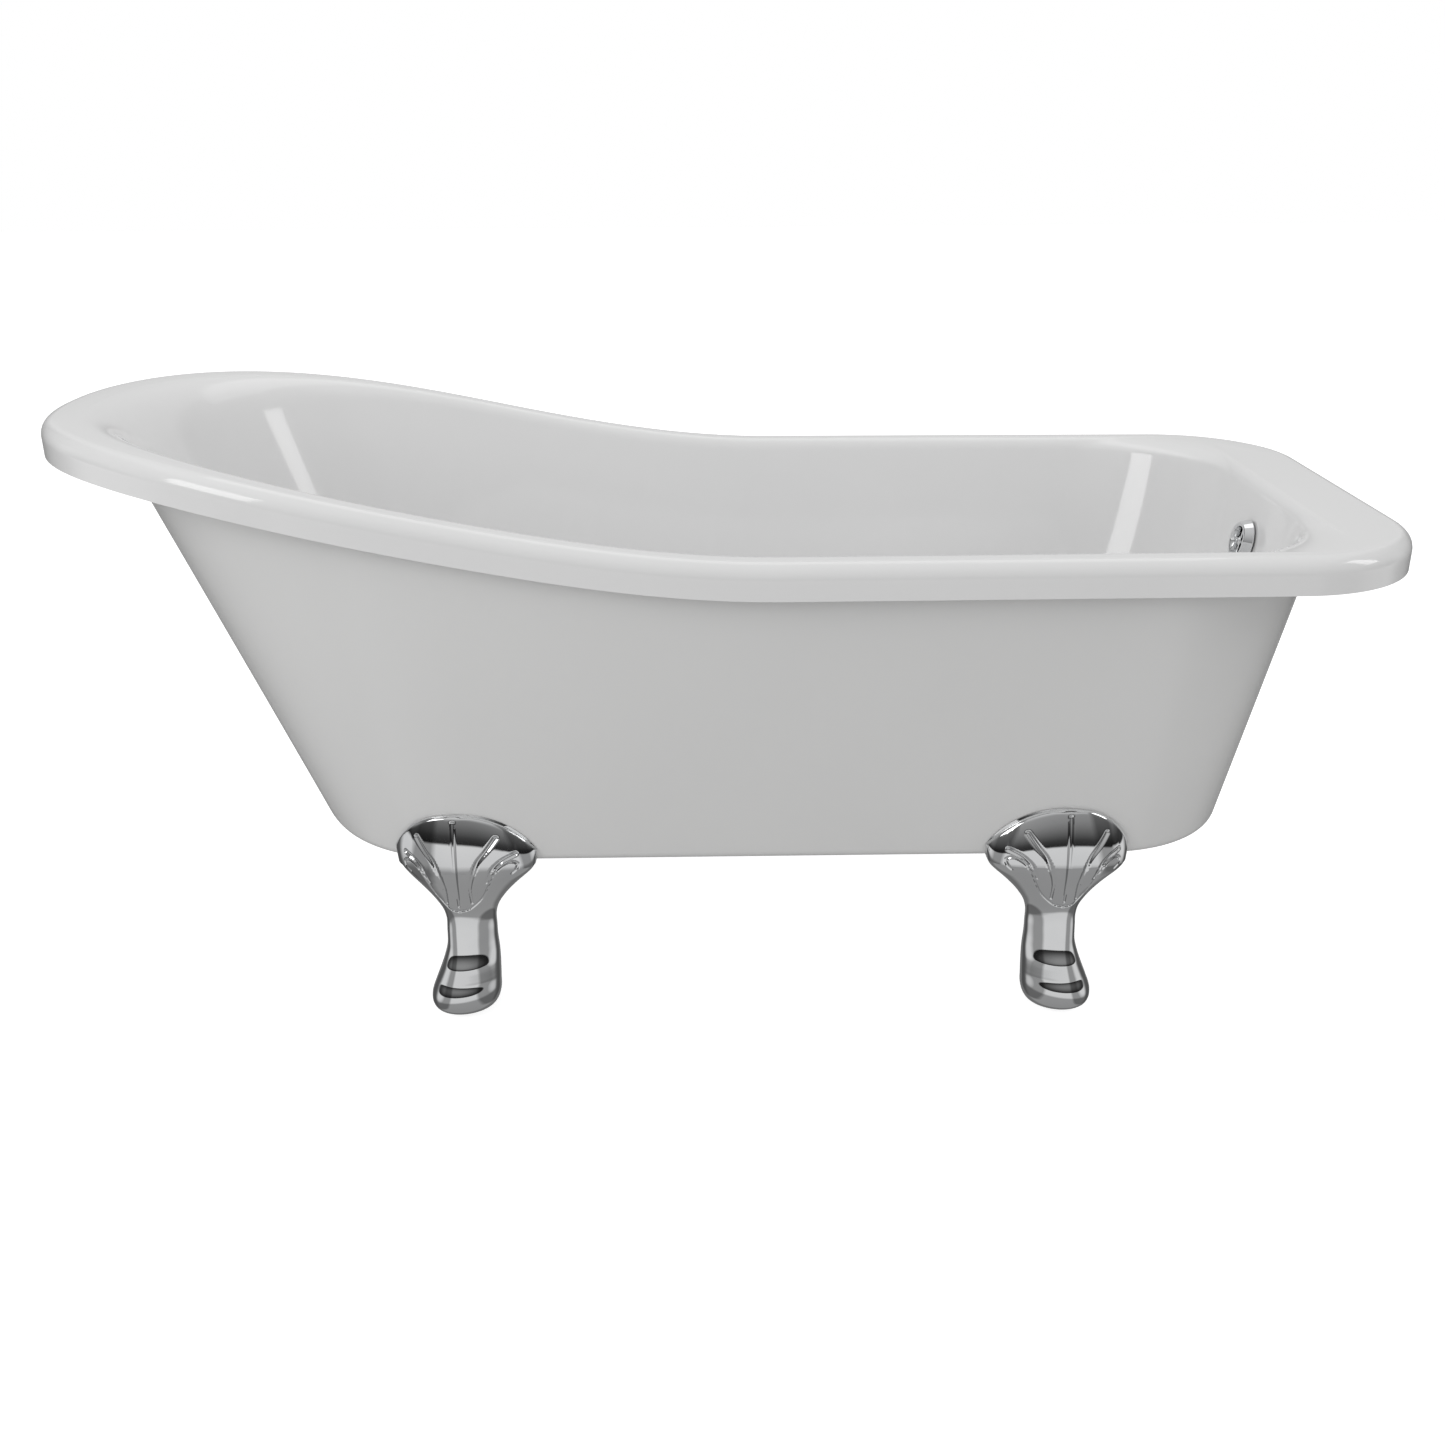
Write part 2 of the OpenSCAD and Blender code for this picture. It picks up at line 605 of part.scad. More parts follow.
// The elbow turns the overflow pipe from its slope to level, with a socket at each end
module elbow_bend(r) {
    translate([bend_x, 0, bend_z]) rotate([90, 0, 0]) rotate([0, 0, -90])
        rotate_extrude(angle = 90 - skin_slope) translate([bend_r, 0]) circle(r = r);
}
module overflow_elbow() {
    color("slategray") difference() {
        union() {
            elbow_bend(pipe_r + socket_wall);
            at_elbow_top() translate([0, 0, -1]) cylinder(r = pipe_r + elbow_wall, h = socket_len + 1);
            at_elbow_foot() translate([0, 0, -1]) cylinder(r = pipe_r + elbow_wall, h = socket_len + 1);
        }
        elbow_bend(pipe_r - pipe_wall);
        at_elbow_top() translate([0, 0, 1]) cylinder(r = pipe_r + running_gap, h = socket_len);
        at_elbow_foot() translate([0, 0, 1]) cylinder(r = pipe_r + running_gap, h = socket_len);
    }
}
// The sloping pipe down from the overflow, and the level pipe along to the waste
module overflow_downpipe() {
    color("goldenrod") at_elbow_top() translate([0, 0, 1.1]) ring(pipe_r, pipe_r - pipe_wall, down_len);
}
module overflow_level_pipe() {
    color("goldenrod") at_elbow_foot() translate([0, 0, 1.1]) ring(pipe_r, pipe_r - pipe_wall, level_len);
}
module pipe_nut() {
    color("darkgoldenrod") translate([waste_x + inlet_len, 0, inlet_z]) rotate([0, 90, 0]) difference() {
        cylinder(r = 14, h = 12, $fn = 6);
        translate([0, 0, -1]) cylinder(r = pipe_r + running_gap, h = 14);
    }
}

module waste_flange() {
    color("silver") translate([waste_x, 0, flange_z]) {
        rotate_extrude() polygon([
            [neck_bore_r, -neck_len], [neck_r, -neck_len], [neck_r, 0], [flange_r, 0], [flange_r, 0.8],
            [flange_r - 4, 2.6], [24.5, 3], [24, 3], [neck_bore_r, 0]
        ]);
        difference() {
            union() {
                translate([0, 0, -neck_len]) cylinder(r = 7, h = 5);
                for (a = [0, 90]) rotate([0, 0, a]) translate([-18, -1.5, -neck_len]) cube([36, 3, 4]);
            }
            translate([0, 0, -neck_len - 1]) cylinder(r = stem_r + running_gap, h = 8);
        }
    }
}
module waste_washer() {
    color("dimgray") translate([waste_x, 0, washer_z]) ring(flange_r - 1, floor_hole_r, 1);
}
module waste_gasket() {
    color("dimgray") translate([waste_x, 0, body_top_z]) ring(33, floor_hole_r, gasket_t);
}
module waste_body() {
    color("darkgoldenrod") translate([waste_x, 0, 0]) difference() {
        union() {
            translate([0, 0, body_top_z - 6]) cylinder(r = flange_r - 1, h = 6);
            translate([0, 0, tail_end_z + tail_len]) cylinder(r = barrel_r, h = barrel_len);
            translate([0, 0, tail_end_z]) cylinder(r = tail_r, h = tail_len + 5);
            translate([0, 0, inlet_z]) rotate([0, 90, 0]) cylinder(r = inlet_r, h = inlet_len);
        }
        translate([0, 0, inlet_z - 10]) cylinder(r = neck_r + running_gap, h = 60);
        translate([0, 0, tail_end_z - 1]) cylinder(r = tail_bore_r, h = 80);
        translate([0, 0, inlet_z]) rotate([0, 90, 0]) cylinder(r = pipe_r - pipe_wall, h = 60);
        translate([inlet_len - 12, 0, inlet_z]) rotate([0, 90, 0]) cylinder(r = pipe_r + running_gap, h = 60);
    }
}

module plug_cap() {
    color("silver") translate([waste_x, 0, flange_z + 3 + cap_gap]) rotate_extrude() polygon([
        [0, 0], [30, 0], [31, 0.8], [31, 1.6], [30, 2.6], [24, 4], [16, 5], [8, 5.6], [3, 5.8], [0, 5.8]
    ]);
}
module plug_seal() {
    color("dimgray") translate([waste_x, 0, flange_z + cap_gap]) rotate_extrude()
        polygon([[16.5, 1], [19, 1], [23, 2.7], [23, 3], [16.5, 3]]);
}
module plug_stem() {
    color("goldenrod") translate([waste_x, 0, flange_z + 3 + cap_gap]) {
        translate([0, 0, -2.5]) cylinder(r = 16, h = 2.5);
        translate([0, 0, -42]) cylinder(r = stem_r, h = 40);
        translate([0, 0, -3 - cap_gap - neck_len - plug_travel - 5]) cylinder(r = 6, h = 4);
    }
}

basin();
outer_skin();
base_board();
head_bearer();
tap_bearer();
deck_board();
foot_head_near();
foot_head_far();
foot_tap_near();
foot_tap_far();
foot_pads();
foot_bolts();
foot_washers();
foot_tee_nuts();
bearer_screws();
overflow_rose();
overflow_washer();
overflow_screw();
overflow_gasket();
overflow_body();
overflow_downpipe();
overflow_elbow();
overflow_level_pipe();
pipe_nut();
waste_flange();
waste_washer();
waste_gasket();
waste_body();
plug_cap();
plug_seal();
plug_stem();
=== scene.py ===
"""Looks of a freestanding slipper bath: white acrylic double skin, chrome scallop-shell feet and fittings."""

import math

import bmesh
import bpy
import numpy as np
from mathutils import Matrix, Vector


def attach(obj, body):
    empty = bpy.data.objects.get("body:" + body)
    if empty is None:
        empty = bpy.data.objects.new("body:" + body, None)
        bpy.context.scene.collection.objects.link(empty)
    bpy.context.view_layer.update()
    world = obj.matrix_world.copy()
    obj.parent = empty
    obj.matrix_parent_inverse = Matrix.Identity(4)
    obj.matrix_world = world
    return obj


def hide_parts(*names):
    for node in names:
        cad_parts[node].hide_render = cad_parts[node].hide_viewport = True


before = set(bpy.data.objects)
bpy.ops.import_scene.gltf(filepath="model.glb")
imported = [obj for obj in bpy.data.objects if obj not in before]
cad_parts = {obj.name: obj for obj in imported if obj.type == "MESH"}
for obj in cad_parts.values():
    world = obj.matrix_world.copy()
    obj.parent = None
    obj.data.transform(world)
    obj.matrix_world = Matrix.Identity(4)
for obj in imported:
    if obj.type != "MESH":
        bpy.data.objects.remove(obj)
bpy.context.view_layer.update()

scene = bpy.context.scene

# ---------------------------------------------------------------- camera

CAMERA_AT = (0.010, -1.950, 1.114)
CAMERA_PITCH = 22.54
CAMERA_ROLL = -0.40
LENS = 36.72
SENSOR = 36.0


def make_camera():
    data = bpy.data.cameras.new("camera")
    data.lens = LENS
    data.sensor_width = SENSOR
    data.clip_end = 60
    camera = bpy.data.objects.new("camera", data)
    scene.collection.objects.link(camera)
    tilt = Matrix.Rotation(math.radians(90 - CAMERA_PITCH), 4, "X")
    roll = Matrix.Rotation(math.radians(CAMERA_ROLL), 4, "Z")
    camera.matrix_world = Matrix.Translation(CAMERA_AT) @ tilt @ roll
    scene.camera = camera


make_camera()

# ---------------------------------------------------------------- the bath's driving sizes, in metres

MM = 0.001
LENGTH, WIDTH, RIM_H = 1.700, 0.740, 0.645
HEAD_RISE, HEAD_N = 0.126, 2.27
RISE_START, RISE_END = 0.079, -0.839
ROLL_R, LIP_H = 0.020, 0.043
BASIN_T, SKIN_T = 0.005, 0.004
FLOOR_Z, FLOOR_FALL = 0.284, 0.004
SKIN_BOTTOM_Z = 0.222

# Plan outlines: head x, tap x, half width, taper, corner radius, head length
RIM = np.array([-LENGTH / 2, LENGTH / 2, WIDTH / 2, 0.014, 0.180, 0.503])
CREST = np.array([-0.800, 0.753, 0.339, 0.014, 0.060, 0.465])
WALL_TOP = np.array([-0.753, 0.739, 0.328, 0.014, 0.185, 0.430])
WALL_FOOT = np.array([-0.550, 0.640, 0.245, 0.010, 0.190, 0.330])
FLOOR_EDGE = np.array([-0.400, 0.585, 0.175, 0.006, 0.130, 0.240])
SKIN_TOP = np.array([-0.750, 0.765, 0.350, 0.016, 0.250, 0.440])
SKIN_FOOT = np.array([-0.544, 0.690, 0.263, 0.008, 0.183, 0.230])
SKIN_FLAT = np.array([-0.528, 0.680, 0.253, 0.008, 0.173, 0.214])
GROW = np.array([-1, 1, 1, 0, 1, 1])

BASIN_BEND, HEAD_BEND = 0.080, 0.150
SKIN_BEND, SKIN_HEAD_BEND = 0.012, 0.021
ROLL_DROP, HEAD_ROLL_DROP = 0.018, 0.062
TAP_BOW = 0.014
SKIN_TUCK, SKIN_HEAD_TUCK = 0.022, 0.038

WASTE_X = 0.545
RECESS_R, RECESS_DEPTH, FLOOR_HOLE_R, SKIN_HOLE_R = 0.038, 0.002, 0.0225, 0.045

# Points along each stretch of half an outline
HEAD_STEPS, SIDE_STEPS, CORNER_STEPS, END_STEPS = 44, 34, 26, 20


def rim_z(x):
    u = np.clip((RISE_START - x) / (RISE_START - RISE_END), 0, 1)
    return RIM_H + HEAD_RISE * u * u * (3 - 2 * u)


def outline(o):
    """A closed plan outline as points, anticlockwise from the head tip along the near side."""
    head_x, tap_x, half_w, taper, corner, head_len = o
    head_end, cx, cy = head_x + head_len, tap_x - corner, -(half_w - taper - corner)
    lean = math.atan(taper / (cx - head_end))
    t = np.linspace(0, math.pi / 2, HEAD_STEPS + 1)
    power = 2 / HEAD_N
    head = np.stack([head_end - head_len * np.cos(t).clip(0) ** power, -half_w * np.sin(t) ** power], 1)
    u = np.linspace(0, 1, SIDE_STEPS + 1)[1:, None]
    side_end = np.array([cx + corner * math.sin(lean), cy - corner * math.cos(lean)])
    side = np.array([head_end, -half_w]) * (1 - u) + side_end * u
    a = np.linspace(lean - math.pi / 2, 0, CORNER_STEPS + 1)[1:]
    arc = np.stack([cx + corner * np.cos(a), cy + corner * np.sin(a)], 1)
    e = np.linspace(1, 0, END_STEPS + 1)[1:]
    end = np.stack([np.full(END_STEPS, tap_x), cy * e], 1)
    near = np.concatenate([head, side, arc, end])
    return np.concatenate([near, near[-2:0:-1] * [1, -1]])


def around(head, corner_end):
    """A weight for each point of an outline, from its values along the head curve and the corner."""
    half = np.concatenate([head, np.zeros(SIDE_STEPS), corner_end, np.full(END_STEPS, corner_end[-1])])
    return np.concatenate([half, half[-2:0:-1]])


HEADNESS = around(
    np.cos(np.linspace(0, math.pi / 2, HEAD_STEPS + 1)) ** 2,
    np.zeros(CORNER_STEPS),
)
TAPNESS = around(
    np.zeros(HEAD_STEPS + 1),
    np.sin(np.linspace(0, math.pi / 2, CORNER_STEPS + 1)[1:]) ** 2,
)


def head_mix(side, head):
    return side + (head - side) * HEADNESS


def at_height(o, z):
    plan = outline(o)
    return np.column_stack([plan, np.broadcast_to(z, len(plan))])


def rim_ring(o, drop):
    plan = outline(o)
    return np.column_stack([plan, rim_z(plan[:, 0]) - drop])


def floor_z(x, drop, fall):
    return FLOOR_Z - drop + fall * np.clip(WASTE_X - x, 0, None) / (WASTE_X - WALL_FOOT[0])


def floor_ring(o, drop, fall):
    plan = outline(o)
    return np.column_stack([plan, floor_z(plan[:, 0], drop, fall)])


def mix(a, b, w):
    w = np.reshape(w, (-1, 1))
    return a * (1 - w) + b * w


def bend(a, b, c, s):
    return a * (1 - s) ** 2 + b * 2 * s * (1 - s) + c * s**2


def steps(count, start=0.0, end=1.0):
    return np.linspace(start, end, count + 1)


def basin_rings(t):
    """Rings from the lip's lower edge to the edge of the floor, t = 0 on the visible face."""
    crest = rim_ring(CREST + GROW * t / 2, t)
    top = rim_ring(WALL_TOP + GROW * t, t)
    fall = 0 if t else FLOOR_FALL
    foot = floor_ring(WALL_FOOT + GROW * t, t, fall)
    flat = floor_ring(FLOOR_EDGE + GROW * t, t, fall)
    depth = top[:, 2] - foot[:, 2]
    upper = mix(top, foot, head_mix(ROLL_DROP, HEAD_ROLL_DROP) / depth)
    lower = mix(top, foot, 1 - head_mix(BASIN_BEND, HEAD_BEND) / depth)

    def bowed(ring):
        v = np.clip((RIM_H - ring[:, 2]) / depth, 0, 1)
        return ring + np.outer(TAP_BOW * 4 * v * (1 - v) * TAPNESS, [1, 0, 0])

    r = ROLL_R - t
    lip = [rim_ring(RIM - GROW * t, drop) for drop in (LIP_H, LIP_H - 0.0015, LIP_H - 0.008, ROLL_R + 0.004)]
    roll = [
        rim_ring(RIM - GROW * (t + r * (1 - math.cos(a))), t + r * (1 - math.sin(a)))
        for a in steps(10, 0, math.pi / 2)
    ]
    return (
        lip
        + roll
        + [bowed(bend(crest, top, upper, s)) for s in steps(16)]
        + [bowed(mix(upper, lower, w)) for w in steps(24)[1:-1]]
        + [bowed(bend(lower, foot, flat, s)) for s in steps(16)]
    )


def skin_rings(t):
    """Rings from the skin's top edge to the edge of its flat underside, t = 0 outside."""
    top = rim_ring(SKIN_TOP - GROW * t, LIP_H)
    foot = at_height(SKIN_FOOT - GROW * t, SKIN_BOTTOM_Z + t)
    flat = at_height(SKIN_FLAT - GROW * t, SKIN_BOTTOM_Z + t)
    depth = top[:, 2] - foot[:, 2]
    tucked = mix(top, foot, (head_mix(SKIN_TUCK, SKIN_HEAD_TUCK) - LIP_H) / depth)
    lower = mix(top, foot, 1 - head_mix(SKIN_BEND, SKIN_HEAD_BEND) / depth)
    return (
        [tucked]
        + [mix(top, lower, w) for w in steps(24)[:-1]]
        + [bend(lower, foot, flat, s) for s in steps(12)]
    )


def towards_waste(ring, radius, count, height):
    """Rings that close in from an outline to a circle round the waste."""
    waste = np.array([WASTE_X, 0])
    out = ring[:, :2] - waste
    circle = waste + radius * out / np.linalg.norm(out, axis=1)[:, None]
    made = []
    for s in steps(count)[1:]:
        plan = mix(ring[:, :2], circle, s)
        made.append(np.column_stack([plan, height(plan[:, 0])]))
    return made


def resized(ring, radius, z):
    """A circle round the waste with the same directions as ring."""
    waste = np.array([WASTE_X, 0])
    out = ring[:, :2] - waste
    plan = waste + radius * out / np.linalg.norm(out, axis=1)[:, None]
    return np.column_stack([plan, np.full(len(plan), z)])


# ---------------------------------------------------------------- meshes


def mesh_object(name, points, faces, sharp_deg=35):
    mesh = bpy.data.meshes.new(name)
    mesh.from_pydata([tuple(p) for p in points], [], [tuple(f) for f in faces])
    mesh.polygons.foreach_set("use_smooth", [True] * len(mesh.polygons))
    mesh.update()
    mark_sharp(mesh, sharp_deg)
    made = bpy.data.objects.new(name, mesh)
    scene.collection.objects.link(made)
    return made


def mark_sharp(mesh, sharp_deg):
    bm = bmesh.new()
    bm.from_mesh(mesh)
    limit = math.radians(sharp_deg)
    for edge in bm.edges:
        if len(edge.link_faces) == 2:
            edge.smooth = edge.calc_face_angle(0) < limit
    bm.to_mesh(mesh)
    bm.free()


def closed_loop_loft(name, rings, sharp_deg=35):
    """A ring-shaped solid: the last ring joins the first."""
    n, rows = len(rings[0]), len(rings)
    i = np.arange(n)
    faces = []
    for k in range(rows):
        a, b = k * n + i, (k + 1) % rows * n + i
        faces.append(np.stack([a, b, np.roll(b, -1), np.roll(a, -1)], 1))
    return mesh_object(name, np.concatenate(rings), np.concatenate(faces), sharp_deg)


def cut(made, cutters, sharp_deg=35):
    """made with the shapes of cutters taken out of it, and the cutters gone."""
    for cutter in cutters:
        taking = made.modifiers.new("cut", "BOOLEAN")
        taking.operation = "DIFFERENCE"
        taking.solver = "EXACT"
        taking.object = cutter
    scene.view_layers[0].update()
    whole = bpy.data.meshes.new_from_object(made.evaluated_get(bpy.context.evaluated_depsgraph_get()))
    made.modifiers.clear()
    old = made.data
    made.data = whole
    whole.name = made.name
    bpy.data.meshes.remove(old)
    for cutter in cutters:
        bpy.data.meshes.remove(cutter.data)
    mark_sharp(whole, sharp_deg)
    return made


def band_faces(rows, n):
    """Four-sided faces between each ring of n points and the next."""
    i = np.arange(n)
    j = np.roll(i, -1)
    return [
        tuple(face)
        for k in range(rows - 1)
        for face in np.stack([k * n + i, k * n + j, (k + 1) * n + j, (k + 1) * n + i], 1)
    ]


def turned_solid(name, profile, place, count=72, sharp_deg=35):
    """A solid of revolution about local Z from (radius, height) points, set in the frame place."""
    a = np.arange(count) * 2 * math.pi / count
    rings = [np.stack([r * np.cos(a), r * np.sin(a), np.full(count, z)], 1) for r, z in profile]
    points = [place @ Vector(p) for p in np.concatenate(rings)]
    i = np.arange(count)
    faces = band_faces(len(profile), count)
    last = (len(profile) - 1) * count
    faces += [tuple(i[::-1]), tuple(last + i)]
    return mesh_object(name, points, faces, sharp_deg)


# ---------------------------------------------------------------- overflow frame

OVERFLOW_Z, OVERFLOW_HOLE_R = 0.566, 0.022
# Share of the tap-end wall, down from its roll, that is one flat band
BAND_SHARE = 0.4


def tap_wall_x(z):
    v = (RIM_H - z) / (RIM_H - FLOOR_Z)
    return WALL_TOP[1] * (1 - v) + WALL_FOOT[1] * v + 4 * TAP_BOW * v * (1 - v)


def overflow_frame():
    """Local +Z looks into the basin, local +X runs up the wall."""
    top = RIM_H - ROLL_DROP
    foot = top - BAND_SHARE * (top - FLOOR_Z - BASIN_BEND)
    slope = (tap_wall_x(top) - tap_wall_x(foot)) / (top - foot)
    x = tap_wall_x(top) - slope * (top - OVERFLOW_Z)
    return Matrix.Translation((x, 0, OVERFLOW_Z)) @ Matrix.Rotation(math.atan(slope) - math.pi / 2, 4, "Y")


def make_basin():
    shown = basin_rings(0)
    shown += towards_waste(shown[-1], RECESS_R, 12, lambda x: floor_z(x, 0, FLOOR_FALL))
    shown += [resized(shown[-1], RECESS_R - 0.0004, FLOOR_Z - 0.0006)]
    shown += [resized(shown[-1], RECESS_R - 0.0012, FLOOR_Z - RECESS_DEPTH)]
    shown += [resized(shown[-1], FLOOR_HOLE_R, FLOOR_Z - RECESS_DEPTH)]
    under = basin_rings(BASIN_T)
    under += towards_waste(under[-1], FLOOR_HOLE_R, 6, lambda x: floor_z(x, BASIN_T, 0))
    basin = closed_loop_loft("bath_basin", shown + under[::-1])
    hole = [(OVERFLOW_HOLE_R, -0.030), (OVERFLOW_HOLE_R, 0.030)]
    return cut(basin, [turned_solid("overflow_hole", hole, overflow_frame())])


def make_skin():
    outside = skin_rings(0)
    outside += towards_waste(outside[-1], SKIN_HOLE_R, 8, lambda x: SKIN_BOTTOM_Z + 0 * x)
    inside = skin_rings(SKIN_T)
    inside += towards_waste(inside[-1], SKIN_HOLE_R, 4, lambda x: SKIN_BOTTOM_Z + SKIN_T + 0 * x)
    return closed_loop_loft("bath_outer_skin", outside + inside[::-1])


basin = make_basin()
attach(basin, "bath")
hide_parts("basin")
skin = make_skin()
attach(skin, "bath")
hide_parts("outer_skin")

# ---------------------------------------------------------------- feet

HEAD_FOOT_X, TAP_FOOT_X = -0.321, 0.439
SHELL_HW, SHELL_TOP_Z, SHELL_CORNER_Z = 0.092, 0.297, 0.242
SHELL_GAP, SHELL_EDGE, EDGE_R = 0.0015, 0.005, 0.0035
TOE_KICK, TURN_OUT, TOE_SHARE = 0.016, 0.010, 0.4
TOE_H, FOLLOW_Z, FOLLOW_H = 0.110, 0.150, 0.060
BOLT_DX, BOLT_Y, BOLT_R, BOLT_SEAT_Z, SEAT_R = 0.022, 0.175, 0.0045, 0.212, 0.0105
HEAD_FOOT_Y, TAP_FOOT_Y = 0.260, 0.258
SHELL_ARC_R = (SHELL_HW**2 / (SHELL_TOP_Z - SHELL_CORNER_Z) + SHELL_TOP_Z - SHELL_CORNER_Z) / 2

# Sections of a foot: height, half width, middle and back outwards from the ankle
SECTIONS = MM * np.array([
    [3, 25, 1, -20], [6, 31, 2, -26], [10, 36, 3.5, -30], [15, 40.5, 4.5, -34], [22, 44, 5, -36],
    [31, 45.5, 4.5, -38], [50, 43, 3.5, -37],
    [66, 40, 2, -34], [88, 36, 0, -31], [108, 33, -1.5, -29], [126, 32.5, -3, -29], [144, 32.6, -4.5, -31],
    [155, 35.5, -5.5, -34], [172, 46, -7, -41], [190, 62, -8, -53], [200, 72, -7, -66], [208, 80, -5, -92],
    [215, 86, -3, -102], [222, 89.5, -1, -114],
])
# The front of a foot along its middle, with a flat knuckle from 55 to 80: height, distance out
FRONT = MM * np.array([
    [3, 22], [6, 27.5], [10, 33.5], [15, 39.5], [22, 44], [31, 45.6], [38, 45.4], [43, 44.6], [48, 43],
    [52, 41.4], [55, 40.4], [60, 39.9], [68, 39.2], [76, 38.5], [80, 38], [83, 36.8], [87, 35], [92, 33],
    [98, 31.2], [104, 30.1], [112, 28.8], [126, 26.4], [144, 23.9], [155, 23.5], [172, 26.5], [190, 30.5],
    [200, 33],
    [208, 34.8], [215, 35.8], [222, 36.3],
])
# Flutes on one side: sideways place and height of points from the top down
FLUTES = [
    MM * np.array([[0, 288], [0, 250], [0, 210], [0, 169]]),
    MM * np.array([[50, 267], [38, 250], [29, 238], [21.5, 219], [16.5, 198], [16, 174]]),
    MM * np.array([[70, 244], [57, 238], [47, 229], [39, 213], [36, 206]]),
]
FLUTE_TOP, FLUTE_TIP = (0.0034, 0.0026), (0.0017, 0.0014)
# The engraved edge of the fluted panel on one side, from its lowest point out and round the curl
PANEL = MM * np.array([
    [0, 161], [12, 164], [20, 171], [30, 184], [37, 199], [43, 213], [54, 230], [67, 235],
    [72.5, 231], [71.5, 224], [65.5, 217],
])
PANEL_GROOVE, PANEL_RAISE = (0.0017, 0.0014), 0.0007
FRONT_STEPS, BACK_STEPS = 248, 62
# Heights of the low rings: close at the sole's edge, then a ring each LEG_STEP
SOLE_HEIGHTS = [3, 3.4, 4.2, 5.4, 7, 9, 11.5]
LEG_STEP, ROOT_RINGS = 2, 58
FOOT_SHARP = 50


def smooth(table, x):
    """Values at x of the smooth curves through a table whose first column is x."""
    at = table[:, 0]
    slopes = np.gradient(table[:, 1:], at, axis=0)
    k = np.clip(np.searchsorted(at, x, "right") - 1, 0, len(at) - 2)
    h = at[k + 1] - at[k]
    u = np.clip((x - at[k]) / h, 0, 1)[..., None]
    h = h[..., None]
    a, b = table[k, 1:], table[k + 1, 1:]
    return (
        a * (1 + 2 * u) * (1 - u) ** 2
        + b * (3 - 2 * u) * u * u
        + slopes[k] * h * u * (1 - u) ** 2
        - slopes[k + 1] * h * u * u * (1 - u)
    )


def along(points, count):
    """count points along the smooth curve through points, with the share of the way."""
    way = np.concatenate([[0], np.cumsum(np.linalg.norm(np.diff(points, axis=0), axis=1))])
    share = np.linspace(0, 1, count)
    return smooth(np.column_stack([way, points]), share * way[-1]), share


def outline_hw(o, x):
    """Half width of an outline at x; o may hold one outline for each x."""
    head_x, tap_x, half_w, taper, corner, head_len = np.moveaxis(o, -1, 0)
    head_end, cx = head_x + head_len, tap_x - corner
    head = half_w * (1 - np.clip((head_end - x) / head_len, 0, 1) ** HEAD_N) ** (1 / HEAD_N)
    side = half_w - taper * (x - head_end) / (cx - head_end)
    bend_in = half_w - taper - corner + np.sqrt(np.clip(corner**2 - (x - cx) ** 2, 0, None))
    return np.where(x < head_end, head, np.where(x < cx, side, bend_in))


def wall_hw(x, z):
    v = (z - SKIN_BOTTOM_Z) / (rim_z(1.3 * x) - LIP_H - SKIN_BOTTOM_Z)
    return outline_hw(SKIN_FOOT + (SKIN_TOP - SKIN_FOOT) * v[..., None], x)


def skin_hw(x, z):
    """Half width of the skin with its lower edge rounded off."""
    head_end = SKIN_FOOT[0] + SKIN_FOOT[5]
    head = np.clip((head_end - x) / SKIN_FOOT[5], 0, None) ** HEAD_N
    up = SKIN_BEND + (SKIN_HEAD_BEND - SKIN_BEND) * head
    side = outline_hw(SKIN_FOOT, x) - outline_hw(SKIN_FLAT, x)
    q = np.clip((z - SKIN_BOTTOM_Z) / up, 0, 1)
    return wall_hw(x, z) - side * (1 - np.sqrt(q)) ** 2


